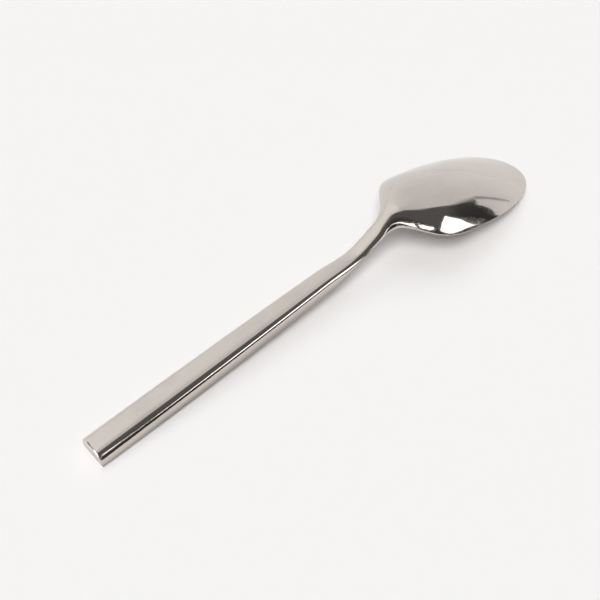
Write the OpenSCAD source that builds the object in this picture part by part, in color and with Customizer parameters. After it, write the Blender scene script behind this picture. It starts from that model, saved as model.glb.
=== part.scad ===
// Teaspoon lying face down: a thin pressed bowl with its neck, joined to a solid bar handle.
// Stations run along the spoon from the handle's free end (0) to the bowl's tip (overall_l).
// At each station a cross-section is worked out from smooth functions, and the sections are lofted.

/* [Overall] */
// Length from the handle's free end to the bowl's tip, as the spoon lies on a table
overall_l = 137; // [128:1:148]

/* [Handle] */
// Length of the straight bar
handle_l = 66.5; // [60:0.5:72]
// Width of the bar at its free end
handle_end_w = 7.7; // [6:0.1:9]
// Width of the bar where it meets the neck
handle_front_w = 5.3; // [4.8:0.1:7]
// Bow of the bar's long sides at their middle
handle_bow = 0.18; // [0:0.02:0.6]
// Thickness of the bar at its free end
handle_end_t = 4.1; // [3.6:0.1:5.4]
// Thickness of the bar where it meets the neck
handle_front_t = 4.2; // [3.6:0.1:5]
// Height of the flat sides below the rounded back, at the free end
handle_end_side_h = 1.9; // [1.2:0.1:2.6]
// Height of the flat sides below the rounded back, where the bar meets the neck
handle_front_side_h = 3; // [1.8:0.1:3.4]
// Angle of the bar's flat front face to the table
handle_angle = 4.35; // [2:0.05:6]
// Radius of the two corners at the free end, seen from above
end_corner_r = 0.5; // [0.2:0.1:2]
// Radius of the back edge at the free end
end_edge_r = 0.7; // [0.1:0.1:1]
// Order of the curve across the bar's back, where higher is flatter in the middle
handle_back_order = 2.8; // [2:0.1:5]
// Order of the shoulders of the bar's back, where higher is fuller
handle_shoulder_order = 1.4; // [1:0.1:2.5]

/* [Neck] */
// Length of the taper from the bar down to the slim neck
neck_taper_l = 13.1; // [10:0.1:16]
// Width of the slim neck
neck_w = 4.4; // [3.6:0.1:5.4]
// Thickness of the slim neck at its middle
neck_t = 1.85; // [1.5:0.05:2.6]
// Thickness of the slim neck at its side edges
neck_edge_t = 0.85; // [0.6:0.05:1.2]
// Distance from the bar's front end to the middle of the bend of the neck
neck_bend_l = 7.4; // [4:0.1:10]
// Angle of the neck to the table, beyond its bend
neck_angle = 28.8; // [18:0.2:34]

/* [Bowl] */
// Greatest width of the bowl
bowl_w = 25.8; // [22:0.2:32]
// Distance from the widest place to the tip
bowl_front_l = 28.8; // [24:0.2:34]
// Distance from the widest place back to the start of the flare
flare_l = 24.8; // [22:0.2:28]
// Order of the flare at its start, where higher keeps the neck slim for longer
flare_root_order = 4.6; // [3:0.1:6]
// Order of the flare's shoulders, where higher is squarer
flare_shoulder_order = 4.4; // [3:0.1:6]
// Height of the bowl's back above its rim at the deepest place
bowl_h = 6.9; // [5:0.1:9]
// Distance from the deepest place to the tip
bowl_deep_l = 34.6; // [28:0.2:38]
// Distance from the deepest place back to where the neck starts to swell
bowl_swell_l = 17.4; // [14:0.2:24]
// Distance from the widest place back to the start of the hollow
hollow_start_l = 21.7; // [18:0.1:25]
// Length of the run from the neck's flat front into the hollow
hollow_run_l = 7; // [4:0.5:12]
// Thickness of the pressed sheet at the deepest place
sheet_t = 1; // [0.7:0.1:1.6]
// Height of the rim's outer edge
rim_t = 0.65; // [0.4:0.05:1]
// Width of the flat land on the rim
rim_land = 1; // [0.6:0.1:1.6]
// Angle of the rim's plane to the table
rim_angle = 14.5; // [8:0.1:20]
// Height of the rim's bow above a straight line
rim_bow = 0.65; // [0:0.05:1]
// Height that the rim gains towards the neck, at the start of the hollow
rim_lift = 2.1; // [0:0.1:3]
// Order of that gain, where higher keeps it closer to the neck
rim_lift_order = 7.3; // [4:0.1:9]
// Half length of the rounded crest where the neck meets the rim
crest_l = 2.4; // [0.5:0.1:4]
// Order of the rounded tip, where 2 is an ellipse
tip_order = 2.1; // [1.8:0.05:2.6]
// Length from the bar's front end over which the bar's section turns into the bowl's
section_blend_l = 18.9; // [14:0.1:28]
// Order of the curve across the bowl's back
bowl_back_order = 2.4; // [1.8:0.05:3]
// Order of the swell from the neck to the deepest place
swell_order = 1.8; // [1.5:0.1:3]
// Order of the fall from the deepest place to the tip
fall_order = 1.6; // [1.3:0.05:3]

/* [Joint] */
// Length of the tang inside the bar
tang_l = 12; // [8:0.5:20]
// Width of the tang
tang_w = 3; // [2:0.1:4]
// Thickness of the tang
tang_t = 1.6; // [1:0.1:2.2]
// Gap round the tang, which the brazing fills
tang_gap = 0.05; // [0.02:0.01:0.15]

/* [Hidden] */
// Stations along the neck and the bowl's rear, round the bowl's front, and along the bar
rear_steps = 46;
front_steps = 22;
bar_steps = 10;
// Steps round each corner of the free end, and across a section
corner_steps = 5;
across = 24;
bend_s = handle_l + neck_bend_l;
wide_s = overall_l - bowl_front_l;
deep_s = overall_l - bowl_deep_l;
flare_s = wide_s - flare_l;
hollow_s = wide_s - hollow_start_l;
// Shares of the half width and of the back's height that the hollow takes
hollow_w_share = 1 - rim_land / (bowl_w / 2);
hollow_h_share = (bowl_h - sheet_t) / (bowl_h - rim_t);
// Heights over which the bend and the crest are rounded
bend_k = neck_bend_l * (tan(neck_angle) - tan(handle_angle));
crest_k = crest_l * (tan(neck_angle) + tan(rim_angle));

// Smooth step from 0 to 1
function ease(t) = let (c = min(max(t, 0), 1)) c * c * (3 - 2 * c);
// Value between a and b
function mix(a, b, t) = a + (b - a) * t;
// Greater and lesser of two heights, with the corner where they cross rounded over the height k
function soft_gap(a, b, k) = let (h = max(k - abs(a - b), 0) / k) h * h * k / 4;
function soft_max(a, b, k) = max(a, b) + soft_gap(a, b, k);
function soft_min(a, b, k) = min(a, b) - soft_gap(a, b, k);
// Distance that a rounded corner of radius r takes off at a distance d from its end
function corner_cut(d, r) = d >= r ? 0 : r - sqrt(r * r - (r - d) * (r - d));

// How far the bar has turned into the neck, and the neck into the bowl, from 0 to 1
function neck_share(s) = ease((s - handle_l) / neck_taper_l);
function bowl_share(s) = ease((s - handle_l) / section_blend_l);
function front_share(s) = min(max((s - wide_s) / bowl_front_l, 0), 1);
function flare_share(s) = let (t = min(max((s - flare_s) / flare_l, 0), 1))
    pow(1 - pow(1 - t, flare_shoulder_order), flare_root_order);

// Half width of the bar, a bowed taper, and of the neck without the bowl
function bar_half(s) = let (u = s / handle_l)
    mix(handle_end_w, handle_front_w, u) / 2 + handle_bow * 4 * u * (1 - u) - corner_cut(s, end_corner_r);
function stem_half(s) = s < handle_l
    ? bar_half(s)
    : mix(handle_front_w, neck_w, neck_share(s)) / 2;
// Half width of the bowl in front of its widest place, and of the whole spoon
function front_half(s) = bowl_w / 2 * pow(max(1 - pow(front_share(s), tip_order), 0), 1 / tip_order);
function half_w(s) = s < wide_s ? mix(stem_half(s), bowl_w / 2, flare_share(s)) : front_half(s);

// Height of the front edge above the table: bar, neck and rim as three lines with rounded meetings
function bar_z(s) = s * tan(handle_angle);
function neck_z(s) = bar_z(bend_s) + (s - bend_s) * tan(neck_angle);
function rim_z(s) = let (u = (overall_l - s) / (overall_l - hollow_s))
    (overall_l - s) * tan(rim_angle) + (u < 1 ? rim_bow * 4 * u * (1 - u) : 0)
    + rim_lift * pow(u, rim_lift_order);
function front_z(s) = soft_min(soft_max(bar_z(s), neck_z(s), bend_k), rim_z(s), crest_k);

// Height of the upright side edge above the front edge
function stem_side(s) = s < handle_l
    ? mix(handle_end_side_h, handle_front_side_h, s / handle_l)
    : mix(handle_front_side_h, neck_edge_t, neck_share(s));
function side_h(s) = mix(stem_side(s), rim_t, flare_share(s));
// Height of the back above the front edge, at the middle of the section
function stem_t(s) = s < handle_l
    ? mix(handle_end_t, handle_front_t, s / handle_l) - corner_cut(s, end_edge_r)
    : mix(handle_front_t, neck_t, neck_share(s));
function swell(s) = 1 - pow(min(max((deep_s - s) / bowl_swell_l, 0), 1), swell_order);
function fall(s) = 1 - pow(min(max((s - deep_s) / bowl_deep_l, 0), 1), fall_order);
function back_h(s) = s < deep_s ? mix(stem_t(s), bowl_h, swell(s)) : mix(rim_t, bowl_h, fall(s));

// Curve across the back, 1 at the middle and 0 at the edges
function arch(s, v) = let (
    p = mix(handle_back_order, bowl_back_order, bowl_share(s)),
    q = mix(handle_shoulder_order, 1, bowl_share(s))
  ) pow(max(1 - pow(abs(v), p), 0), 1 / q);
// Depth of the hollow at the middle of the section
function hollow_h(s) = (back_h(s) - rim_t) * hollow_h_share * ease((s - hollow_s) / hollow_run_l);
// Station of the hollow's edge, drawn back by the rim's land towards the tip
function inner_s(s) = s - rim_land * pow(front_share(s), 4);

// Places across a section, closer together towards the edges
places = [for (j = [0 : across]) sin(-90 + 180 * j / across)];
function at(s, y, z) = [s - overall_l / 2, y, z];
function back_line(s) = [for (v = places)
    at(s, half_w(s) * v, front_z(s) + side_h(s) + max(back_h(s) - side_h(s), 0) * arch(s, v))];
function hollow_line(s) = let (si = inner_s(s)) [for (v = places)
    at(si, -half_w(s) * hollow_w_share * v, front_z(si) + hollow_h(s) * arch(s, v))];
function edge(s, side) = at(s, side * half_w(s), front_z(s));

// Sections of the solid bar, and of the shell of the neck and bowl
function bar_section(s) = concat(back_line(s), [edge(s, 1), edge(s, -1)]);
function shell_section(s) = concat(back_line(s), [edge(s, 1)], hollow_line(s), [edge(s, -1)]);

// Four corners of the tang at a station, grown on all sides by a gap
function tang_middle(s) = bar_z(s) + handle_front_t / 2;
function tang_corners(s, gap) = let (y = tang_w / 2 + gap, z = tang_t / 2 + gap, m = tang_middle(s))
    [at(s, -y, m + z), at(s, y, m + z), at(s, y, m - z), at(s, -y, m - z)];

// Numbers of a run of points, and a list from its end to its start
function run(first, count) = [for (j = [0 : count - 1]) first + j];
function backwards(list) = [for (i = [len(list) - 1 : -1 : 0]) list[i]];
// Faces with three different corners
function whole(faces) = [for (f = faces) if (f[0] != f[1] && f[1] != f[2] && f[2] != f[0]) f];
// Faces between two neighbouring rings of a loft, given each ring's point numbers
function band(low, high) = whole([for (j = [0 : len(low) - 1]) let (k = (j + 1) % len(low))
    each [[low[j], high[k], high[j]], [low[j], low[k], high[k]]]]);
// Corner of the tang that lies in the same quarter of the section as a point
function quarter(p) = p[2] > tang_middle(handle_l) ? (p[1] < 0 ? 0 : 1) : (p[1] > 0 ? 2 : 3);
// Flat faces of the joint, between a section's ring and the four corners of the tang inside it
function collar(points, outer, corners) = whole([for (j = [0 : len(outer) - 1]) let (
    k = (j + 1) % len(outer),
    a = corners[quarter(points[outer[j]])],
    b = corners[quarter(points[outer[k]])]
  ) each [[outer[k], outer[j], a], [outer[k], a, b]]]);

module bowl() {
  rear = [for (i = [0 : rear_steps]) mix(handle_l, wide_s, i / rear_steps)];
  front = [for (i = [1 : front_steps - 1])
    wide_s + bowl_front_l * pow(sin(90 * i / front_steps), 2 / tip_order)];
  stations = concat(rear, front);
  size = 2 * across + 4;
  rings = len(stations);
  tip_s = inner_s(overall_l);
  tip = [
    at(overall_l, 0, front_z(overall_l) + rim_t),
    at(overall_l, 0, front_z(overall_l)),
    at(tip_s, 0, front_z(tip_s))
  ];
  points = concat(
    [for (s = stations) each shell_section(s)],
    tip,
    tang_corners(handle_l, 0),
    tang_corners(handle_l - tang_l, 0)
  );
  // The last ring closes on the tip's three points: back, edge and hollow
  tip_ring = [for (j = [0 : size - 1])
    rings * size + (j <= across ? 0 : j == across + 1 || j == size - 1 ? 1 : 2)];
  tang_root = run(rings * size + len(tip), 4);
  tang_end = run(rings * size + len(tip) + 4, 4);
  shell = [for (i = [0 : rings - 2]) each band(run(i * size, size), run((i + 1) * size, size))];
  closing = band(run((rings - 1) * size, size), tip_ring);
  shoulder = collar(points, run(0, size), tang_root);
  tang = concat(band(tang_end, tang_root), [backwards(tang_end)]);
  color("silver") polyhedron(points, concat(shell, closing, shoulder, tang));
}

module handle() {
  corner_l = max(end_corner_r, end_edge_r);
  corner = [for (i = [0 : corner_steps]) corner_l * (1 - cos(90 * i / corner_steps))];
  bar = [for (i = [1 : bar_steps]) mix(corner_l, handle_l, i / bar_steps)];
  stations = concat(corner, bar);
  size = across + 3;
  rings = len(stations);
  points = concat(
    [for (s = stations) each bar_section(s)],
    tang_corners(handle_l, tang_gap),
    tang_corners(handle_l - tang_l - tang_gap, tang_gap)
  );
  slot_mouth = run(rings * size, 4);
  slot_end = run(rings * size + 4, 4);
  sides = [for (i = [0 : rings - 2]) each band(run(i * size, size), run((i + 1) * size, size))];
  joint = [for (f = collar(points, run((rings - 1) * size, size), slot_mouth)) backwards(f)];
  slot = concat(band(slot_mouth, slot_end), [slot_end]);
  color("lightgray") polyhedron(points, concat([backwards(run(0, size))], sides, joint, slot));
}

bowl();
handle();
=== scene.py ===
"""Teaspoon lying face down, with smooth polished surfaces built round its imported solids, in a small studio.

All sizes are in metres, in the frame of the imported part. A station is a distance along the spoon, from the
handle's free end (0) to the bowl's tip. +Y is across the spoon and +Z is up. A bearing is an angle in degrees
from the camera's right towards the camera, and a rise is an angle in degrees above the floor.
"""

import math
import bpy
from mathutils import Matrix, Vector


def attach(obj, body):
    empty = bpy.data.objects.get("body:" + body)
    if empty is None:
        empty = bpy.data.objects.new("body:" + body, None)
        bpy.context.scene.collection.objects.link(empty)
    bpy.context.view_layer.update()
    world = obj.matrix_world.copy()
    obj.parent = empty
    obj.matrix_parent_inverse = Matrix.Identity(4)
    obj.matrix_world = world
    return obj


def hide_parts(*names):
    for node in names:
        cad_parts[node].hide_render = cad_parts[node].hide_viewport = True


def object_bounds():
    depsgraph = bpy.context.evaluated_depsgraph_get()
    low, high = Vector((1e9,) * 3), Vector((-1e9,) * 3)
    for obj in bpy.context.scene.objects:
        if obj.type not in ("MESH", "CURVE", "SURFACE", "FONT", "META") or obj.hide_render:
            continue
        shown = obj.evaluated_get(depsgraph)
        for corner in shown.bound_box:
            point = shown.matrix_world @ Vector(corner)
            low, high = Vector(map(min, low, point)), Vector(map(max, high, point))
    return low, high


bl_info = {
    "name": "Teaspoon",
    "version": (1, 0, 0),
    "blender": (4, 5, 0),
    "location": "3D View > Sidebar > Teaspoon",
    "description": "Builds a polished teaspoon round its packed solids, and a studio to show it in",
    "category": "Add Mesh",
}

import bmesh
import bpy
import numpy as np
from bpy.props import FloatProperty, FloatVectorProperty, IntProperty, PointerProperty
from bpy.types import NodeSocket, Operator, Panel, PropertyGroup
from mathutils import Matrix, Vector

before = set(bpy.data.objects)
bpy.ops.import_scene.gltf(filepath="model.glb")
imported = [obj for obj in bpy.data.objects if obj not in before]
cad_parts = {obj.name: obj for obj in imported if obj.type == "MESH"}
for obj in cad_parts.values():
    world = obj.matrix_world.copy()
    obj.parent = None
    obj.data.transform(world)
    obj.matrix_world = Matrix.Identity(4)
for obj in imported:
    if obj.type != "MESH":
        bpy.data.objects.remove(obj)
CAD_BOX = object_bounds()

# Mesh of the spoon
BELL_REACH, BELL_STEPS = 2.5, 25  # Reach, in spreads, and samples of the bell curve that evens out curves
SIDE_PLACES = np.array([0.04, 0.35, 0.7, 0.96])  # Rows down the upright sides, as shares of their height
EDGE_STEPS = 5  # Steps round the eased lower edges
EDGE_LIMIT = 0.45  # Greatest radius of an eased edge, as a share of the side's height
CORNER_STEPS = 16  # Steps round the free end's edges
FRONT_PLACES = np.linspace(0.8, -0.8, 9)  # Places across the bar's flat front, as shares of its half width
TANG_CORNERS = 4
MERGE_GAP = 1e-8  # Points closer than this become one
SHARP_ANGLE = math.radians(32)  # Edges that turn by more than this stay sharp

# Painted shade and dulling, from 0 to 1: every level adds roughness, and above the rim's level painted shade
# darkens the lower sides, for the shaded floor they reflect
RIM_DULL = 0.4  # Dulling on the bowl's rim and along the top of the sides; painted shade starts above this level
DULL_REACH = 0.0012  # Distance over which the dulling fades onto the back
SHADE_END, SHADE_FADE = 0.09, 0.012  # Station where the painted shade down the sides ends, and length of its fade
EDGE_DULL = 0.03  # Roughness that the full mark adds

# Marks in the steel: noise stretched along each axis after a turn in radians
CLOUDS = {"stretch": (90, 140, 140), "turn": (0, 0, 0.4), "detail": 3.0}
WAVES = {"stretch": (120, 190, 190), "turn": (0, 0, 0), "detail": 1.0}
FINE_LINES = {"stretch": (160, 2600, 2600), "turn": (0, 0, 0.12), "width": 0.02}
CROSS_LINES = {"stretch": (120, 2100, 2100), "turn": (0, 0, -0.7), "width": 0.012}
FILM_RANGE = (0.42, 0.72)  # Values of the clouds between which clean steel turns into filmed steel

# Studio: a floor, and a dome and a dark flag that the steel reflects, with spans as first, last and step
FLOOR_HALF, FLOOR_POINTS = 3, 9
DOME_RADIUS, DOME_BEARINGS, DOME_RISES = 1.6, (-180, 180, 5), (-2, 90, 1)
BRIGHT_BEARING = -160  # Bearing at which the dome is brightest
HORIZON_SPREAD = 16  # Rise over which the dome passes from the floor's tone to its own
FLAG_RADIUS, FLAG_BEARINGS, FLAG_RISES = 0.95, (-40, 165, 0.5), (-4, 84, 0.5)
FLAG_TOP = (
    (-38, -34, -29, -25, -22, -15, 4, 25, 46, 75, 105, 130),
    (13, 18.5, 23, 33, 47, 58, 66, 72, 73, 69, 62, 52),
)
FLAG_BOTTOM = (
    (-32, -25, -22.7, -20.7, -17.5, -15.4, -15, -14),
    (18.1, 17.4, 14.5, 12.2, 10, 9, 4, -4),
)
TOP_SOFT, BOTTOM_SOFT = 12, 0.8  # Rises over which the flag's edges fade
FLAG_LEFT, LEFT_SOFT = 158, 46  # Bearing where the flag ends, and the bearings over which it fades
LIGHTER_RISE, LIGHTER_SOFT = 14, 24  # Rise where the flag starts to lighten, and the rises it takes

# Cards that the steel reflects: radius, property that holds the light, and bearing and rise of each corner
CARDS = {
    "grey_wedge": (0.94, "wedge_tone", ((-37.5, 18), (-33, 18.5), (-29.5, 6.2), (-31.2, 7))),
    "end_flag": (0.94, "flag_tone", ((161, 25), (184, 25), (184, 2), (163, 2))),
    "window": (0.9, "window_strength", ((-0.2, 35.7), (45.3, 26.6), (13.4, 17.5), (-5.6, 8.9))),
    "window_top": (0.9, "window_strength", ((-0.2, 35.7), (22.5, 34.6), (45.3, 26.6), (15, 31))),
    "window_side": (0.9, "window_strength", ((-0.2, 35.7), (1.5, 28), (-5.9, 9.7), (-7.6, 18))),
    "side_window": (0.9, "window_strength", ((52.2, 30.5), (69.5, 25.2), (72.4, 18.6), (57, 26.2))),
    "side_window_end": (0.9, "window_strength", ((69.5, 25.2), (75.5, 19.2), (77.7, 14.2), (72.4, 18.6))),
    "side_strip": (0.9, "window_strength", ((77.9, 17.6), (88.9, 3), (88.9, 0.2), (80.6, 11.4))),
    "end_window": (0.9, "end_strength", ((124, 27), (156, 27), (160, 2), (122, 2))),
}
CARD_POINTS = 12  # Points along each side of a card
# Corners, in metres, of a small card by the handle's free end, which the bowl's root sees edge on
END_LINE = (
    (-0.05765, -0.09862, 0.08706),
    (-0.04401, -0.09622, 0.06052),
    (-0.04375, -0.09802, 0.05819),
    (-0.05574, -0.11588, 0.06597),
)
SENSOR_WIDTH = 36  # Millimetres
CLIP_START = 0.01


def length(name, description, default):
    """A length property in metres."""
    return FloatProperty(
        name=name, description=description, default=default, min=0, precision=5, unit="LENGTH"
    )


def order(name, description, default):
    """The order of a power curve, a plain number."""
    return FloatProperty(name=name, description=description, default=default, min=1, max=8)


def slope(name, description, degrees):
    """An angle property, given in degrees."""
    return FloatProperty(name=name, description=description, default=math.radians(degrees), subtype="ANGLE")


def number(name, description, default):
    """A plain number property."""
    return FloatProperty(name=name, description=description, default=default)


def fraction(name, description, default):
    """A number property from 0 to 1."""
    return FloatProperty(name=name, description=description, default=default, min=0, max=1)


def whole(name, description, default):
    """A whole number property, for steps."""
    return IntProperty(name=name, description=description, default=default, min=8)


def colour(name, description, default):
    """A linear colour property."""
    return FloatVectorProperty(
        name=name, description=description, default=default, min=0, max=1, subtype="COLOR"
    )


class TeaspoonSizes(PropertyGroup):
    """Sizes of the spoon.

    They are those of its solids, but end_corner_r, end_edge_r and rim_t are finer. Only the scene has edge_r,
    soften_l and its own step counts.
    """

    overall_l: length("Length", "From the handle's free end to the bowl's tip", CAD_BOX[1].x - CAD_BOX[0].x)
    handle_l: length("Handle length", "Length of the straight bar", 0.0665)
    handle_end_w: length("Handle end width", "Width of the bar at its free end", 0.0077)
    handle_front_w: length("Handle front width", "Width of the bar where it meets the neck", 0.0053)
    handle_bow: length("Handle bow", "Bow of the bar's long sides at their middle", 0.00018)
    handle_end_t: length("Handle end thickness", "Thickness of the bar at its free end", 0.0041)
    handle_front_t: length("Handle front thickness", "Thickness of the bar where it meets the neck", 0.0042)
    handle_end_side_h: length("Handle end side", "Height of the flat sides at the free end", 0.0019)
    handle_front_side_h: length("Handle front side", "Height of the flat sides at the neck", 0.003)
    handle_angle: slope("Handle angle", "Angle of the bar's flat front face to the table", 4.35)
    end_corner_r: length("End corner radius", "Radius of the corners at the free end, from above", 0.0003)
    end_edge_r: length("End edge radius", "Radius of the back edge at the free end", 0.0005)
    handle_back_order: order("Handle back order", "Curve across the bar's back, higher is flatter", 2.8)
    handle_shoulder_order: order("Handle shoulder order", "Bar's shoulders, higher is fuller", 1.4)
    neck_taper_l: length("Neck taper length", "Length of the taper from the bar to the slim neck", 0.0131)
    neck_w: length("Neck width", "Width of the slim neck", 0.0044)
    neck_t: length("Neck thickness", "Thickness of the slim neck at its middle", 0.00185)
    neck_edge_t: length("Neck edge thickness", "Thickness of the slim neck at its side edges", 0.00085)
    neck_bend_l: length("Neck bend length", "From the bar's front end to the middle of the bend", 0.0074)
    neck_angle: slope("Neck angle", "Angle of the neck to the table, beyond its bend", 28.8)
    bowl_w: length("Bowl width", "Greatest width of the bowl", CAD_BOX[1].y - CAD_BOX[0].y)
    bowl_front_l: length("Bowl front length", "From the widest place to the tip", 0.0288)
    flare_l: length("Flare length", "From the widest place back to the start of the flare", 0.0248)
    flare_root_order: order("Flare root order", "Higher keeps the neck slim for longer", 4.6)
    flare_shoulder_order: order("Flare shoulder order", "Higher makes the shoulders squarer", 4.4)
    bowl_h: length("Bowl height", "Height of the bowl's back above its rim", 0.0069)
    bowl_deep_l: length("Deepest place", "From the deepest place to the tip", 0.0346)
    bowl_swell_l: length("Swell length", "From the deepest place back to where the neck swells", 0.0174)
    hollow_start_l: length("Hollow start", "From the widest place back to the start of the hollow", 0.0217)
    hollow_run_l: length("Hollow run", "Length of the run from the flat front into the hollow", 0.007)
    sheet_t: length("Sheet thickness", "Thickness of the sheet at the deepest place", 0.001)
    rim_t: length("Rim height", "Height of the rim's outer edge", 0.0003)
    rim_land: length("Rim land", "Width of the flat land on the rim", 0.001)
    rim_angle: slope("Rim angle", "Angle of the rim's plane to the table", 14.5)
    rim_bow: length("Rim bow", "Height of the rim's bow above a straight line", 0.00065)
    rim_lift: length("Rim lift", "Extra height of the rim where it meets the neck", 0.0021)
    rim_lift_order: order("Rim lift order", "Higher keeps the extra height closer to the neck", 7.3)
    crest_l: length("Crest length", "Half length of the rounded crest between neck and rim", 0.0024)
    tip_order: order("Tip order", "Curve of the rounded tip, 2 is an ellipse", 2.1)
    section_blend_l: length("Section blend", "Length over which the section becomes the bowl's", 0.0189)
    bowl_back_order: order("Bowl back order", "Curve across the bowl's back", 2.4)
    swell_order: order("Swell order", "Curve of the swell from the neck to the deepest place", 1.8)
    fall_order: order("Fall order", "Curve of the fall from the deepest place to the tip", 1.6)
    tang_l: length("Tang length", "Length of the tang inside the bar", 0.012)
    tang_w: length("Tang width", "Width of the tang", 0.003)
    tang_t: length("Tang thickness", "Thickness of the tang", 0.0016)
    tang_gap: length("Tang gap", "Gap round the tang", 0.00005)
    edge_r: length("Edge rounding", "Radius of the eased lower edges", 0.00022)
    soften_l: length("Softening", "Spread over which curves along the spoon are evened out", 0.0009)
    across: whole("Across", "Steps across the back", 72)
    rear_steps: whole("Rear steps", "Steps from the joint to the widest place", 120)
    front_steps: whole("Front steps", "Steps from the widest place to the tip", 64)
    bar_steps: whole("Bar steps", "Steps along the bar", 60)


class SteelFinish(PropertyGroup):
    """Look of the polished steel."""

    light_tone: colour("Light tone", "Reflected colour of clean steel", (0.62, 0.569, 0.525))
    dull_tone: colour("Dull tone", "Reflected colour under a film of handling marks", (0.576, 0.531, 0.493))
    # Painted shade: colour multiplied into the lower sides of bar and neck, darker towards their bottom
    painted_side_shade: colour("Edge tone", "Share of the light that the lower sides keep", (0.6, 0.6, 0.6))
    polish: fraction("Polish", "Roughness of clean steel", 0.02)
    film: fraction("Film", "Roughness under handling marks", 0.06)
    wave_h: length("Wave height", "Height of the polishing waves in the surface", 0.0000018)
    scratch_h: length("Scratch depth", "Depth of the hairline scratches", 0.0000008)


class StudioSet(PropertyGroup):
    """Floor, light, reflected cards and camera."""

    floor_colour: colour("Floor", "Colour of the plain floor", (0.9, 0.885, 0.878))
    sky_strength: number("Sky strength", "Even light on the floor", 0.22)
    key_strength: number("Key strength", "Light of the soft key", 2.25)
    key_spread: slope("Key spread", "Apparent width of the soft key", 22)
    key_bearing: number("Key bearing", "Bearing of the key, in degrees", 102)
    key_rise: number("Key rise", "Rise of the key above the floor, in degrees", 57)
    top_strength: number("Top strength", "Light of the broad overhead lamp", 0.7)
    top_spread: slope("Top spread", "Apparent width of the broad overhead lamp", 56)
    top_bearing: number("Top bearing", "Bearing of the broad lamp, in degrees", -110)
    top_rise: number("Top rise", "Rise of the broad lamp above the floor, in degrees", 70)
    dome_tone: number("Dome tone", "Least brightness of the reflected dome", 0.76)
    dome_rise: number("Dome rise", "Extra brightness towards the brightest bearing", 0.312)
    horizon_tone: number("Horizon tone", "Brightness of the dome along the floor", 0.93)
    flag_tone: number("Flag tone", "Brightness of the dark flag's lower part", 0.045)
    flag_rise: number("Flag rise", "Extra brightness of the dark flag's upper part", 0.073)
    wedge_tone: number("Wedge tone", "Brightness of the grey wedge", 0.42)
    window_strength: number("Window strength", "Brightness of the window cards", 3.0)
    end_strength: number("End strength", "Brightness of the window card by the free end", 9.0)
    line_strength: number("Line strength", "Brightness of the small card by the free end", 1.5)
    camera_turn: slope("Camera turn", "Turn of the camera's right from the spoon's length", 41.025)
    camera_lift: slope("Camera lift", "Angle of the camera above the table", 50.6)
    camera_far: length("Camera distance", "Distance from the camera to the point it looks at", 0.26842)
    camera_station: length("Aim station", "Station of the point that the camera looks at", 0.06299)
    camera_side: length("Aim side", "Sideways place of the point that the camera looks at", 0.003648)
    camera_lens: FloatProperty(
        name="Lens", description="Focal length for a 36 mm sensor", default=66.149, unit="CAMERA"
    )


def ease(t):
    """Smooth step: 0 below 0, 1 above 1, and 3t^2 - 2t^3 between."""
    t = np.clip(t, 0, 1)
    return t * t * (3 - 2 * t)


def between(a, b, t):
    """Value that goes in a straight line from a at t = 0 to b at t = 1."""
    return a + (b - a) * t


def round_over(a, b, k):
    """Height added where two lines cross, to round the corner over the height k: (k - |a - b|)^2 / 4k."""
    return np.maximum(k - np.abs(a - b), 0) ** 2 / (4 * k)


def corner_cut(d, r):
    """What a rounded corner of radius r takes off at a distance d from its end: r - sqrt(r^2 - (r - d)^2)."""
    inside = np.clip(r - d, 0, r)
    return np.where(d < r, r - np.sqrt(r * r - inside * inside), 0)


def wide_station(p):
    """Station of the bowl's widest place."""
    return p.overall_l - p.bowl_front_l


def along_stem(p, s, end, front, neck):
    """Value that runs in a straight line along the bar, and then by a smooth step to the neck's."""
    taper = ease((s - p.handle_l) / p.neck_taper_l)
    return np.where(s < p.handle_l, between(end, front, s / p.handle_l), between(front, neck, taper))


def flare_share(p, s):
    """How far the neck has flared into the bowl: (1 - (1 - t)^m)^n, with t from 0 to 1 along the flare."""
    t = np.clip((s - wide_station(p) + p.flare_l) / p.flare_l, 0, 1)
    return (1 - (1 - t) ** p.flare_shoulder_order) ** p.flare_root_order


def stem_half(p, s):
    """Half width of the bar, a taper with a bow of 4u(1 - u), and of the neck."""
    u = s / p.handle_l
    bow = np.where(s < p.handle_l, p.handle_bow * 4 * u * (1 - u), 0)
    return along_stem(p, s, p.handle_end_w, p.handle_front_w, p.neck_w) / 2 + bow


def half_width(p, s):
    """Half width: stem and flare to the widest place, then W/2 (1 - u^m)^(1/m), with u = 1 at the tip."""
    u = np.clip((s - wide_station(p)) / p.bowl_front_l, 0, 1)
    rear = between(stem_half(p, s), p.bowl_w / 2, flare_share(p, s))
    front = p.bowl_w / 2 * (1 - u**p.tip_order) ** (1 / p.tip_order)
    return np.where(s < wide_station(p), rear, front)


def front_height(p, s):
    """Height of the front edge: the lines of bar, neck and rim, with the bend and the crest rounded over."""
    bar_rise, neck_rise, rim_fall = (math.tan(a) for a in (p.handle_angle, p.neck_angle, p.rim_angle))
    bend = p.handle_l + p.neck_bend_l
    bar = bar_rise * s
    neck = bar_rise * bend + neck_rise * (s - bend)
    back = p.overall_l - s
    u = back / (p.bowl_front_l + p.hollow_start_l)
    bow = np.where(u < 1, 4 * p.rim_bow * u * (1 - u), 0)
    rim = rim_fall * back + bow + p.rim_lift * np.maximum(u, 0) ** p.rim_lift_order
    stem = np.maximum(bar, neck) + round_over(bar, neck, p.neck_bend_l * (neck_rise - bar_rise))
    return np.minimum(stem, rim) - round_over(stem, rim, p.crest_l * (neck_rise + rim_fall))


def side_height(p, s):
    """Height of the upright side: along the stem, then to the rim's by the flare's share."""
    stem = along_stem(p, s, p.handle_end_side_h, p.handle_front_side_h, p.neck_edge_t)
    return between(stem, p.rim_t, flare_share(p, s))


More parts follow.
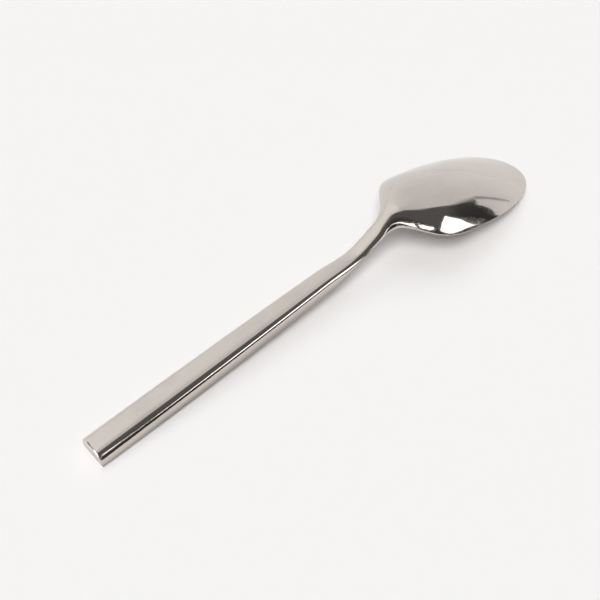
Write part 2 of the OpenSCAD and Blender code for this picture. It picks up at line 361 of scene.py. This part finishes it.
def back_height(p, s):
    """Ridge of the back over the front edge: stem, swell 1 - a^m to the deepest place, fall 1 - b^n."""
    stem = along_stem(p, s, p.handle_end_t, p.handle_front_t, p.neck_t)
    deep = p.overall_l - p.bowl_deep_l
    a = np.clip((deep - s) / p.bowl_swell_l, 0, 1)
    b = np.maximum(s - deep, 0) / p.bowl_deep_l
    swell = between(stem, p.bowl_h, 1 - a**p.swell_order)
    fall = between(p.rim_t, p.bowl_h, 1 - b**p.fall_order)
    return np.where(s < deep, swell, fall)


def arch(p, s, v):
    """Curve across the back, (1 - |v|^m)^(1/n), with orders that pass from the bar's to the bowl's."""
    share = ease((s - p.handle_l) / p.section_blend_l)
    m = between(p.handle_back_order, p.bowl_back_order, share)
    n = between(p.handle_shoulder_order, 1, share)
    return np.clip(1 - np.abs(v) ** m, 0, 1) ** (1 / n)


def evened(p, function, s):
    """Average of a function along the spoon under a bell curve, so that its curvature has no steps."""
    steps = np.linspace(-BELL_REACH, BELL_REACH, BELL_STEPS)
    weights = np.exp(-steps * steps / 2)
    values = function(p, s[None, :] + p.soften_l * steps[:, None])
    return np.tensordot(weights / weights.sum(), values, 1)


def across_places(p):
    """Places across the back from -1 to 1, as sines, so that they crowd towards the edges."""
    return np.sin(np.linspace(-math.pi / 2, math.pi / 2, p.across + 1))


def points(s, y, z):
    """Points from stations, sideways places and heights, with the frame's origin at the spoon's middle."""
    s, y, z = np.broadcast_arrays(s, y, z)
    return np.stack([s + CAD_BOX[0].x, y, z], -1)


def mirrored(rows):
    """The same rows of points on the other side of the spoon, in the opposite order."""
    return rows[:, ::-1] * np.array([1, -1, 1])


def back_rows(s, half, front, side, back, curve, v):
    """Rows over the back: y = half * v, z = front + side + (back - side) * curve."""
    rise = np.maximum(back - side, 0)
    return points(s[:, None], half[:, None] * v, (front + side)[:, None] + rise[:, None] * curve)


def edge_rows(p, s, half, outward, front_at, side):
    """Rows down the upright side and round a quarter circle onto the front, set in along the normal."""
    r = np.minimum(p.edge_r, EDGE_LIMIT * side)[:, None]
    turn = np.linspace(0, math.pi / 2, EDGE_STEPS + 1)
    inset = np.concatenate([np.zeros((len(s), len(SIDE_PLACES))), r * (1 - np.cos(turn))], 1)
    upright = side[:, None] - (side[:, None] - r) * SIDE_PLACES
    lift = np.concatenate([upright, r * (1 - np.sin(turn))], 1)
    station = s[:, None] - inset * outward[:, :1]
    place = half[:, None] - inset * outward[:, 1:]
    return points(station, place, front_at(station) + lift)


def outline_normals(s, half):
    """Outward normals of the bowl's outline in plan: across the spoon at the joint, along it at the tip."""
    tangent = np.stack([np.gradient(s), np.gradient(half)], 1)
    tangent /= np.linalg.norm(tangent, axis=1)[:, None]
    outward = np.stack([-tangent[:, 1], tangent[:, 0]], 1)
    outward[0] = (0, 1)
    outward[-1] = (1, 0)
    return outward


def loft_faces(rings, around):
    """Quads between neighbouring closed rings of points."""
    low = np.arange((rings - 1) * around).reshape(rings - 1, around)
    high = low + around
    return np.stack([low, high, np.roll(high, -1, 1), np.roll(low, -1, 1)], -1).reshape(-1, 4)


def tang_middle(p, s):
    """Height of the tang's middle at a station."""
    return s * math.tan(p.handle_angle) + p.handle_front_t / 2


def tang_corners(p, s, gap):
    """Four corners of the tang's section at a station, grown by a gap."""
    y = p.tang_w / 2 + gap
    z = p.tang_t / 2 + gap
    return points(s, np.array([-y, y, y, -y]), tang_middle(p, s) + np.array([z, z, -z, -z]))


def collar_faces(p, outline, numbers, corners):
    """Flat faces of the joint: each point of the outline joins the tang's corner in its own quarter."""
    following = np.roll(numbers, -1)
    upper = np.where(outline[:, 1] < 0, 0, 1)
    lower = np.where(outline[:, 1] > 0, 2, 3)
    own = corners[np.where(outline[:, 2] > tang_middle(p, p.handle_l), upper, lower)]
    other = np.roll(own, -1)
    fan = np.stack([numbers, following, own], 1)
    step = np.stack([following, other, own], 1)[own != other]
    return np.concatenate([fan, step])


def make_piece(name, parts, faces, shade_and_dull, finish, node):
    """A piece from points and faces: doubles merged, smooth, sharp only at real corners, on its body.

    Painted shade and dulling values belong to the first points, and the rest have none.
    """
    places = np.concatenate([part.reshape(-1, 3) for part in parts])
    mesh = bpy.data.meshes.new(name)
    mesh.from_pydata(places.tolist(), [], faces)
    point_shade_and_dull = np.zeros(len(places), np.float32)
    point_shade_and_dull[: shade_and_dull.size] = shade_and_dull.ravel()
    mesh.attributes.new("shade_and_dull", "FLOAT", "POINT").data.foreach_set("value", point_shade_and_dull)
    work = bmesh.new()
    work.from_mesh(mesh)
    bmesh.ops.remove_doubles(work, verts=work.verts, dist=MERGE_GAP)
    work.to_mesh(mesh)
    work.free()
    mesh.validate()
    mesh.shade_smooth()
    mesh.set_sharp_from_angle(angle=SHARP_ANGLE)
    mesh.materials.append(finish)
    piece = bpy.data.objects.new(name, mesh)
    bpy.context.scene.collection.objects.link(piece)
    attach(piece, "root")
    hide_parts(node)


def side_shade_and_dull(s, half, v, edge_count, inner_count):
    """Painted shade and dulling over the rings: dulling fades onto the back, and painted shade grows to 1
    down the sides of bar and neck root.
    """
    back = RIM_DULL * np.exp(-half[:, None] * (1 - np.abs(v)) / DULL_REACH)
    bar = ease((SHADE_END - s) / SHADE_FADE)[:, None]
    growth = np.interp(np.arange(edge_count), (0, len(SIDE_PLACES) - 1), (0, 1))
    down = RIM_DULL + (1 - RIM_DULL) * bar * growth
    return np.concatenate([back, down, np.zeros((len(s), inner_count)), down[:, ::-1]], 1)


def bowl_shape(p):
    """Rings of the bowl and neck, from the joint to the tip: back, edge, hollow inside its land, and edge."""
    rear = np.linspace(p.handle_l, wide_station(p), p.rear_steps + 1)
    turn = np.linspace(0, math.pi / 2, p.front_steps + 1)[1:]
    s = np.concatenate([rear, wide_station(p) + p.bowl_front_l * np.sin(turn) ** (2 / p.tip_order)])
    v = across_places(p)
    half = half_width(p, s)
    half[-1] = 0
    outward = outline_normals(s, half)

    def front_at(station):
        return evened(p, front_height, station.ravel()).reshape(station.shape)

    side = evened(p, side_height, s)
    back = evened(p, back_height, s)
    curve = arch(p, s[:, None], v)
    over = back_rows(s, half, front_at(s), side, back, curve, v)
    edge = edge_rows(p, s, half, outward, front_at, side)
    inner_s = s - p.rim_land * outward[:, 0]
    inner_half = np.maximum(half - p.rim_land * outward[:, 1], 0)
    depth_share = (p.bowl_h - p.sheet_t) / (p.bowl_h - p.rim_t)
    hollow_s = wide_station(p) - p.hollow_start_l
    depth = np.maximum((back - p.rim_t) * depth_share * ease((s - hollow_s) / p.hollow_run_l), 0)
    depth[-1] = 0
    hollow_z = front_at(inner_s)[:, None] + depth[:, None] * curve
    hollow = points(inner_s[:, None], -inner_half[:, None] * v, hollow_z)
    rings = np.concatenate([over, edge, hollow, mirrored(edge)], 1)
    return rings, side_shade_and_dull(s, half, v, edge.shape[1], hollow.shape[1])


def handle_shape(p):
    """Rings of the bar, from its rounded free end to the joint: back, edge, flat front and edge."""
    corner_l = max(p.end_corner_r, p.end_edge_r)
    corner = corner_l * (1 - np.cos(np.linspace(0, math.pi / 2, CORNER_STEPS + 1)))
    s = np.concatenate([corner, np.linspace(corner_l, p.handle_l, p.bar_steps + 1)[1:]])
    v = across_places(p)
    half = stem_half(p, s) - corner_cut(s, p.end_corner_r)
    back = back_height(p, s) - corner_cut(s, p.end_edge_r)
    side = side_height(p, s)
    bar_rise = math.tan(p.handle_angle)

    def front_at(station):
        return bar_rise * station + corner_cut(station, p.edge_r)

    over = back_rows(s, half, front_at(s), side, back, arch(p, s[:, None], v), v)
    sideways = np.tile((0.0, 1.0), (len(s), 1))
    edge = edge_rows(p, s, half, sideways, front_at, side)
    under = points(s[:, None], half[:, None] * FRONT_PLACES, front_at(s)[:, None])
    rings = np.concatenate([over, edge, under, mirrored(edge)], 1)
    return rings, side_shade_and_dull(s, half, v, edge.shape[1], len(FRONT_PLACES))


def feed(tree, socket, value):
    """Sets an input to a value, or links it to another node's output."""
    if isinstance(value, NodeSocket):
        tree.links.new(value, socket)
    else:
        socket.default_value = value


def add_node(tree, kind, **inputs):
    """A shader node of a kind, with values or links fed to its inputs by name, where _ stands for a space."""
    node = tree.nodes.new(kind)
    for name, value in inputs.items():
        feed(tree, node.inputs[name.replace("_", " ")], value)
    return node


def attribute(tree, name):
    """Output with a named value of the mesh."""
    node = tree.nodes.new("ShaderNodeAttribute")
    node.attribute_name = name
    return node.outputs["Fac"]


def maths(tree, operation, first, second=0.0):
    """Output with a number from two values or links."""
    node = tree.nodes.new("ShaderNodeMath")
    node.operation = operation
    feed(tree, node.inputs[0], first)
    feed(tree, node.inputs[1], second)
    return node.outputs["Value"]


def mixed(tree, blend, share, first, second):
    """Output with a colour that is blended from two colours or links by a share."""
    node = tree.nodes.new("ShaderNodeMix")
    node.data_type = "RGBA"
    node.blend_type = blend
    feed(tree, node.inputs["Factor"], share)
    feed(tree, node.inputs["A"], first)
    feed(tree, node.inputs["B"], second)
    return node.outputs["Result"]


def ramp(tree, source, low, high, to_low=0.0, to_high=1.0):
    """Output with a number moved smoothly from one range to another, with its ends held."""
    node = add_node(tree, "ShaderNodeMapRange", From_Min=low, From_Max=high, To_Min=to_low, To_Max=to_high)
    node.interpolation_type = "SMOOTHSTEP"
    feed(tree, node.inputs["Value"], source)
    return node.outputs["Result"]


def stretched_noise(tree, where, stretch, turn, detail):
    """Output with noise drawn out by a stretch along each axis, after a turn, so that it runs in streaks."""
    mapping = add_node(tree, "ShaderNodeMapping", Vector=where, Scale=stretch, Rotation=turn)
    noise = add_node(tree, "ShaderNodeTexNoise", Scale=1.0, Detail=detail, Roughness=0.5)
    feed(tree, noise.inputs["Vector"], mapping.outputs["Vector"])
    return noise.outputs["Fac"]


def scratch_lines(tree, where, stretch, turn, width):
    """Output with thin lines where stretched noise crosses its middle value, as straight hairlines."""
    noise = stretched_noise(tree, where, stretch, turn, 0.0)
    off = maths(tree, "ABSOLUTE", maths(tree, "SUBTRACT", noise, 0.5))
    return ramp(tree, off, 0.0, width, 1.0, 0.0)


def empty_finish(name):
    """A material that holds nothing but its output, with its node tree and its surface input."""
    finish = bpy.data.materials.new(name)
    finish.use_nodes = True
    tree = finish.node_tree
    tree.nodes.clear()
    return finish, tree, tree.nodes.new("ShaderNodeOutputMaterial").inputs["Surface"]


def polished_steel(name, look):
    """Polished steel: clean and filmed patches, slow waves, hairline scratches and lower sides darkened with
    painted shade.
    """
    finish, tree, surface = empty_finish(name)
    where = tree.nodes.new("ShaderNodeTexCoord").outputs["Object"]
    shade_and_dull = attribute(tree, "shade_and_dull")

    film = ramp(tree, stretched_noise(tree, where, **CLOUDS), *FILM_RANGE)
    tone = mixed(tree, "MIX", film, (*look.light_tone, 1), (*look.dull_tone, 1))
    # Painted shade: above the rim's level, the lower sides of bar and neck are darkened towards their bottom,
    # in place of the shaded floor they reflect
    shade = mixed(tree, "MULTIPLY", ramp(tree, shade_and_dull, RIM_DULL, 1.0), tone, (*look.painted_side_shade, 1))
    dull = ramp(tree, film, 0.0, 1.0, look.polish, look.film)
    roughness = maths(tree, "ADD", dull, maths(tree, "MULTIPLY", shade_and_dull, EDGE_DULL))

    waves = stretched_noise(tree, where, **WAVES)
    wave_bump = add_node(tree, "ShaderNodeBump", Strength=1.0, Distance=look.wave_h, Height=waves)
    fine = scratch_lines(tree, where, **FINE_LINES)
    cross = scratch_lines(tree, where, **CROSS_LINES)
    line_bump = add_node(tree, "ShaderNodeBump", Strength=1.0, Distance=-look.scratch_h)
    feed(tree, line_bump.inputs["Height"], maths(tree, "MAXIMUM", fine, cross))
    feed(tree, line_bump.inputs["Normal"], wave_bump.outputs["Normal"])

    steel = add_node(tree, "ShaderNodeBsdfPrincipled", Metallic=1.0, Base_Color=shade, Roughness=roughness)
    feed(tree, steel.inputs["Normal"], line_bump.outputs["Normal"])
    feed(tree, surface, steel.outputs["BSDF"])
    return finish


class TEASPOON_OT_bowl(Operator):
    """Build the pressed bowl with its neck and tang"""

    bl_idname = "teaspoon.bowl"
    bl_label = "Bowl and Neck"

    def execute(self, context):
        p = context.scene.teaspoon_sizes
        rings, shade_and_dull = bowl_shape(p)
        count, around = shade_and_dull.shape
        end = tang_corners(p, p.handle_l - p.tang_l, 0)
        root = tang_corners(p, p.handle_l, 0)
        tang_end = count * around + np.arange(TANG_CORNERS)
        tang_root = tang_end + TANG_CORNERS
        faces = loft_faces(count, around).tolist()
        faces += collar_faces(p, rings[0], np.arange(around), tang_root).tolist()
        faces += (loft_faces(2, TANG_CORNERS) + count * around).tolist()
        faces.append(tang_end.tolist())
        finish = polished_steel("polished_bowl_steel", context.scene.teaspoon_steel)
        make_piece("pressed_bowl", (rings, end, root), faces, shade_and_dull, finish, "bowl")
        return {"FINISHED"}


class TEASPOON_OT_handle(Operator):
    """Build the solid bar handle with the slot for the tang"""

    bl_idname = "teaspoon.handle"
    bl_label = "Bar Handle"

    def execute(self, context):
        p = context.scene.teaspoon_sizes
        rings, shade_and_dull = handle_shape(p)
        count, around = shade_and_dull.shape
        mouth = tang_corners(p, p.handle_l, p.tang_gap)
        end = tang_corners(p, p.handle_l - p.tang_l - p.tang_gap, p.tang_gap)
        slot_mouth = count * around + np.arange(TANG_CORNERS)
        slot_end = slot_mouth + TANG_CORNERS
        last = np.arange(around) + (count - 1) * around
        faces = loft_faces(count, around).tolist()
        faces += collar_faces(p, rings[-1], last, slot_mouth)[:, ::-1].tolist()
        faces += (loft_faces(2, TANG_CORNERS) + count * around).tolist()
        faces.append(slot_end[::-1].tolist())
        faces.append(np.arange(around).tolist())
        finish = polished_steel("polished_handle_steel", context.scene.teaspoon_steel)
        make_piece("bar_handle", (rings, mouth, end), faces, shade_and_dull, finish, "handle")
        return {"FINISHED"}


def camera_axes(studio):
    """Right, away along the floor, forward and up directions of the camera, from its turn and lift."""
    turn, lift = studio.camera_turn, studio.camera_lift
    right = np.array([math.cos(turn), -math.sin(turn), 0])
    away = np.array([math.sin(turn), math.cos(turn), 0])
    upright = np.array([0, 0, 1.0])
    forward = math.cos(lift) * away - math.sin(lift) * upright
    return right, away, forward, math.sin(lift) * away + math.cos(lift) * upright


def directions(studio, bearing, rise):
    """Unit directions from bearings and rises."""
    right, away = camera_axes(studio)[:2]
    b, e = np.radians(bearing)[..., None], np.radians(rise)[..., None]
    return np.cos(e) * (np.cos(b) * right - np.sin(b) * away) + np.sin(e) * np.array([0, 0, 1.0])


def stage_sheet(name, grid, finish, **values):
    """A sheet of the stage from a grid of points, with named values at each point."""
    rows, columns = grid.shape[:2]
    low = np.arange(rows * columns).reshape(rows, columns)
    faces = np.stack([low[:-1, :-1], low[1:, :-1], low[1:, 1:], low[:-1, 1:]], -1).reshape(-1, 4)
    mesh = bpy.data.meshes.new(name)
    mesh.from_pydata(grid.reshape(-1, 3).tolist(), [], faces.tolist())
    for key, value in values.items():
        data = mesh.attributes.new(key, "FLOAT", "POINT").data
        data.foreach_set("value", value.ravel().astype(np.float32))
    mesh.shade_smooth()
    mesh.materials.append(finish)
    sheet = bpy.data.objects.new(name, mesh)
    bpy.context.scene.collection.objects.link(sheet)
    return sheet


def reflected_card(name, grid, strength=None, **values):
    """A glowing card that only shows in reflections.

    Its light is one strength or a tone at each point. Where solid is given, it says how solid each point is.
    """
    finish, tree, surface = empty_finish(name)
    light = attribute(tree, "tone") if strength is None else strength
    glow = add_node(tree, "ShaderNodeEmission", Strength=light).outputs["Emission"]
    if "solid" in values:
        clear = tree.nodes.new("ShaderNodeBsdfTransparent").outputs["BSDF"]
        blend = tree.nodes.new("ShaderNodeMixShader")
        for socket, value in zip(blend.inputs, (attribute(tree, "solid"), clear, glow)):
            feed(tree, socket, value)
        glow = blend.outputs["Shader"]
    feed(tree, surface, glow)
    card = stage_sheet(name, grid, finish, **values)
    card.visible_camera = False
    card.visible_diffuse = False
    card.visible_shadow = False
    return card


def plain_floor(tint):
    """Matt pale floor."""
    finish, tree, surface = empty_finish("plain_floor")
    board = add_node(tree, "ShaderNodeBsdfPrincipled", Roughness=1, Specular_IOR_Level=0)
    feed(tree, board.inputs["Base Color"], (*tint, 1))
    feed(tree, surface, board.outputs["BSDF"])
    return finish


def filled(corners):
    """A grid of places between four corners, which are given in turn round it."""
    a, b, c, d = (np.array(corner, float) for corner in corners)
    t = np.linspace(0, 1, CARD_POINTS)
    top = between(a, b, t[:, None])
    bottom = between(d, c, t[:, None])
    return between(top[None], bottom[None], t[:, None, None])


def card_grid(studio, corners, radius):
    """A four-sided card on a sphere round the spoon, from the bearings and rises of its corners."""
    places = filled(corners)
    return radius * directions(studio, places[..., 0], places[..., 1])


def span_grid(*spans):
    """Grids of values over two spans, each with its first value, last value and step."""
    values = [np.linspace(first, last, round((last - first) / step) + 1) for first, last, step in spans]
    return np.meshgrid(*values, indexing="ij")


def build_dome(studio):
    """The dome: brighter towards one bearing, by a squared cosine share, and with the floor's tone below."""
    bearing, rise = span_grid(DOME_BEARINGS, DOME_RISES)
    share = (1 + np.cos(np.radians(bearing - BRIGHT_BEARING))) / 2
    tone = studio.dome_tone + studio.dome_rise * share**2
    tone = between(tone, studio.horizon_tone, np.exp(-((rise / HORIZON_SPREAD) ** 2)))
    dome = reflected_card("dome", DOME_RADIUS * directions(studio, bearing, rise), tone=tone)
    dome.visible_camera = True


def build_flag(studio):
    """The dark flag between a lower and an upper edge over the bearings, softest at its left and top."""
    bearing, rise = span_grid(FLAG_BEARINGS, FLAG_RISES)
    top = ease(0.5 + (np.interp(bearing, *FLAG_TOP) - rise) / TOP_SOFT)
    bottom = ease(0.5 + (rise - np.interp(bearing, *FLAG_BOTTOM)) / BOTTOM_SOFT)
    left = ease((FLAG_LEFT - bearing) / LEFT_SOFT)
    tone = studio.flag_tone + studio.flag_rise * ease((rise - LIGHTER_RISE) / LIGHTER_SOFT)
    places = FLAG_RADIUS * directions(studio, bearing, rise)
    reflected_card("dark_flag", places, tone=tone, solid=top * bottom * left)


def build_floor(studio):
    """The plain floor under the spoon, and the even light of the world round it."""
    span = np.linspace(-FLOOR_HALF, FLOOR_HALF, FLOOR_POINTS)
    x, y = np.meshgrid(span, span, indexing="ij")
    stage_sheet("floor", np.stack([x, y, np.zeros_like(x)], -1), plain_floor(studio.floor_colour))
    world = bpy.data.worlds.new("surround")
    world.use_nodes = True
    sky = world.node_tree.nodes["Background"]
    sky.inputs["Color"].default_value = (1, 1, 1, 1)
    sky.inputs["Strength"].default_value = studio.sky_strength
    bpy.context.scene.world = world


def soft_lamp(name, toward, strength, spread):
    """A far lamp of some apparent width in one direction, which the steel does not mirror."""
    light = bpy.data.lights.new(name, "SUN")
    light.energy, light.angle = strength, spread
    lamp = bpy.data.objects.new(name, light)
    lamp.rotation_euler = Vector(toward).to_track_quat("Z", "Y").to_euler()
    lamp.visible_glossy = False
    bpy.context.scene.collection.objects.link(lamp)


def build_camera(studio):
    """The camera, which looks at a point on the table from its turn, lift and distance."""
    right, _, forward, up = camera_axes(studio)
    lens = bpy.data.cameras.new("camera")
    lens.sensor_width = SENSOR_WIDTH
    lens.lens = studio.camera_lens
    lens.clip_start = CLIP_START
    view = bpy.data.objects.new("camera", lens)
    aim = np.array([studio.camera_station + CAD_BOX[0].x, studio.camera_side, 0])
    turned = Matrix(np.stack([right, up, -forward], 1).tolist()).to_4x4()
    view.matrix_world = Matrix.Translation(Vector(aim - studio.camera_far * forward)) @ turned
    bpy.context.scene.collection.objects.link(view)
    bpy.context.scene.camera = view


class TEASPOON_OT_stage(Operator):
    """Build the floor, the light and the camera"""

    bl_idname = "teaspoon.stage"
    bl_label = "Studio"

    def execute(self, context):
        studio = context.scene.teaspoon_studio
        context.scene.view_settings.view_transform = "Standard"
        build_floor(studio)
        build_dome(studio)
        build_flag(studio)
        for name, (radius, light, corners) in CARDS.items():
            reflected_card(name, card_grid(studio, corners, radius), getattr(studio, light))
        reflected_card("end_line", filled(END_LINE), studio.line_strength)
        key = directions(studio, studio.key_bearing, studio.key_rise)
        soft_lamp("key", key, studio.key_strength, studio.key_spread)
        top = directions(studio, studio.top_bearing, studio.top_rise)
        soft_lamp("top", top, studio.top_strength, studio.top_spread)
        build_camera(studio)
        return {"FINISHED"}


class TEASPOON_PT_sidebar(Panel):
    """Lists the pieces and the sizes and finishes that they are built from"""

    bl_idname = "TEASPOON_PT_sidebar"
    bl_label = "Teaspoon"
    bl_space_type = "VIEW_3D"
    bl_region_type = "UI"
    bl_category = "Teaspoon"

    def draw(self, context):
        column = self.layout.column()
        for step in STEPS:
            column.operator(step.bl_idname)
        for group, kind in GROUPS.items():
            for name in kind.__annotations__:
                column.prop(getattr(context.scene, group), name)


STEPS = (TEASPOON_OT_bowl, TEASPOON_OT_handle, TEASPOON_OT_stage)
GROUPS = {"teaspoon_sizes": TeaspoonSizes, "teaspoon_steel": SteelFinish, "teaspoon_studio": StudioSet}
CLASSES = (*GROUPS.values(), *STEPS, TEASPOON_PT_sidebar)


def register():
    """Registers the classes and hangs the property groups on the scene."""
    for cls in CLASSES:
        bpy.utils.register_class(cls)
    for name, group in GROUPS.items():
        setattr(bpy.types.Scene, name, PointerProperty(type=group))


def unregister():
    """Takes the property groups and the classes away again."""
    for name in GROUPS:
        delattr(bpy.types.Scene, name)
    for cls in reversed(CLASSES):
        bpy.utils.unregister_class(cls)


def main():
    """Builds the spoon and its studio."""
    register()
    bpy.ops.teaspoon.bowl()
    bpy.ops.teaspoon.handle()
    bpy.ops.teaspoon.stage()


if __name__ == "__main__":
    main()
